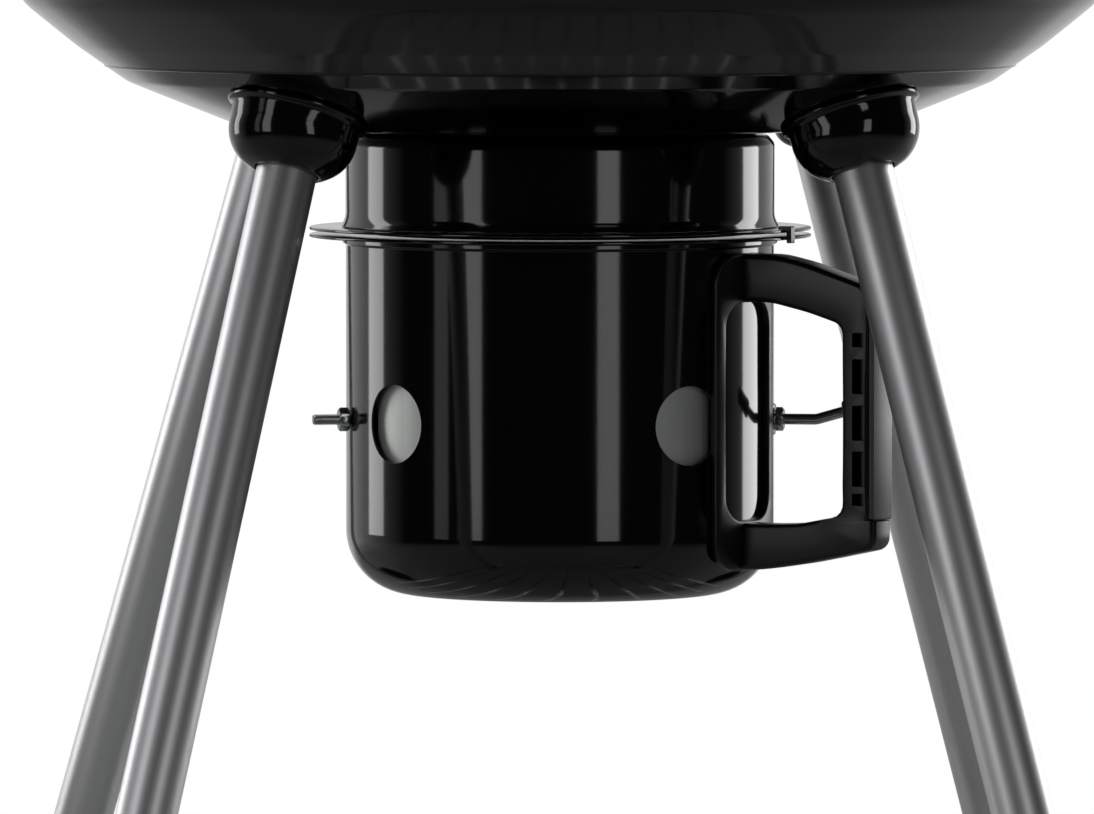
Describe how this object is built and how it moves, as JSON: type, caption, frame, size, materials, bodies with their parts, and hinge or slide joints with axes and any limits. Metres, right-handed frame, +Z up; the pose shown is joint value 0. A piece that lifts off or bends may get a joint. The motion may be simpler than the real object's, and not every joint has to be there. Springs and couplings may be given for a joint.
{
  "type": "kettle charcoal grill",
  "caption": "Round enamelled kettle grill on splayed tube legs, with a hung ash pot whose turning sleeve sets the air, lift-out grates, domed lid and rear wheels.",
  "frame": {"origin": "on the floor, under the middle of the object's bounding box, which is on the kettle's axis", "axes": "+Z up, -Y towards the front, +X to the right when facing the front"},
  "size_m": [0.6882, 0.622, 0.987],
  "materials": {
    "black_enamel": "glossy porcelain enamel on pressed steel",
    "satin_tube": "satin silver tube",
    "moulded_black": "moulded heat-proof plastic, low sheen",
    "zinc_plate": "bright zinc plate",
    "galvanised_sheet": "plain sheet steel, dull grey",
    "plated_wire": "bright plated steel",
    "black_rubber": "matt",
    "tyre_rubber": "matt"
  },
  "bodies": {
    "kettle": {"bowl": "black_enamel", "ash_collar": "black_enamel", "collar_ring_plate": "black_enamel", "latch_clip": "moulded_black", "socket_front_left": "black_enamel", "socket_front_right": "black_enamel", "socket_rear_left": "black_enamel", "socket_rear_right": "black_enamel", "leg_front_left": "satin_tube", "leg_front_right": "satin_tube", "leg_rear_left": "satin_tube", "leg_rear_right": "satin_tube", "leg_bolt_front_left": "zinc_plate", "leg_bolt_front_right": "zinc_plate", "leg_bolt_rear_left": "zinc_plate", "leg_bolt_rear_right": "zinc_plate", "foot_cap_left": "black_rubber", "foot_cap_right": "black_rubber", "leg_plug_left": "moulded_black", "leg_plug_right": "moulded_black", "side_handle_left": "moulded_black", "side_handle_right": "moulded_black", "axle": "zinc_plate", "hub_cap_left": "zinc_plate", "hub_cap_right": "zinc_plate", "wire_shelf": "plated_wire", "grate_strap_1": "galvanised_sheet", "grate_strap_2": "galvanised_sheet", "grate_strap_3": "galvanised_sheet"},
    "ash_pot_unit": {"ash_pot": "black_enamel", "pot_ring_plate": "black_enamel", "guide_stud": "zinc_plate", "stud_nut": "zinc_plate", "pot_handle": "moulded_black", "grip_cover": "moulded_black", "handle_screw_lower": "zinc_plate", "handle_screw_upper": "zinc_plate"},
    "air_damper": {"damper_sleeve": "galvanised_sheet", "damper_lever": "zinc_plate", "lever_nut": "zinc_plate", "lever_cap": "moulded_black"},
    "wheel_unit_left": {"wheel_left": "moulded_black", "tyre_left": "tyre_rubber"},
    "wheel_unit_right": {"wheel_right": "moulded_black", "tyre_right": "tyre_rubber"},
    "charcoal_grate_unit": {"charcoal_grate": "plated_wire"},
    "cooking_grate_unit": {"cooking_grate": "plated_wire"},
    "flap_left": {"grate_flap_left": "plated_wire"},
    "flap_right": {"grate_flap_right": "plated_wire"},
    "lid_unit": {"lid": "black_enamel", "lid_damper_rivet": "galvanised_sheet", "lid_heat_shield": "galvanised_sheet", "lid_handle": "moulded_black", "lid_handle_bolt_left": "zinc_plate", "lid_handle_bolt_right": "zinc_plate", "thermometer": "plated_wire"},
    "lid_vent": {"lid_damper": "galvanised_sheet"}
  },
  "joints": [
    {"name": "ash_pot_drop", "type": "slide", "parent": "kettle", "child": "ash_pot_unit", "axis": [0, 0, -1], "range_m": [0, 0.14]},
    {"name": "air_damper_turn", "type": "hinge", "parent": "ash_pot_unit", "child": "air_damper", "pos_m": [0, 0, 0.4127], "axis": [0, 0, 1], "range_deg": [0, 22]},
    {"name": "wheel_spin_left", "type": "hinge", "parent": "kettle", "child": "wheel_unit_left", "pos_m": [-0.31784, 0.23598, 0.075], "axis": [1, 0, 0], "continuous": true},
    {"name": "wheel_spin_right", "type": "hinge", "parent": "kettle", "child": "wheel_unit_right", "pos_m": [0.31784, 0.23598, 0.075], "axis": [1, 0, 0], "continuous": true},
    {"name": "charcoal_grate_lift", "type": "slide", "parent": "kettle", "child": "charcoal_grate_unit", "axis": [0, 0, 1], "range_m": [0, 0.08]},
    {"name": "cooking_grate_lift", "type": "slide", "parent": "charcoal_grate_unit", "child": "cooking_grate_unit", "axis": [0, 0, 1], "range_m": [0, 0.15]},
    {"name": "lid_lift", "type": "slide", "parent": "cooking_grate_unit", "child": "lid_unit", "axis": [0, 0, 1], "range_m": [0, 0.35]},
    {"name": "flap_hinge_left", "type": "hinge", "parent": "cooking_grate_unit", "child": "flap_left", "pos_m": [-0.165, 0, 0.7169], "axis": [0, 1, 0], "range_deg": [0, 95]},
    {"name": "flap_hinge_right", "type": "hinge", "parent": "cooking_grate_unit", "child": "flap_right", "pos_m": [0.165, 0, 0.7169], "axis": [0, -1, 0], "range_deg": [0, 95]},
    {"name": "lid_vent_turn", "type": "hinge", "parent": "lid_unit", "child": "lid_vent", "pos_m": [-0.08589, 0.12266, 0.91235], "axis": [-0.1605, 0.2292, 0.9601], "range_deg": [0, 60]}
  ]
}
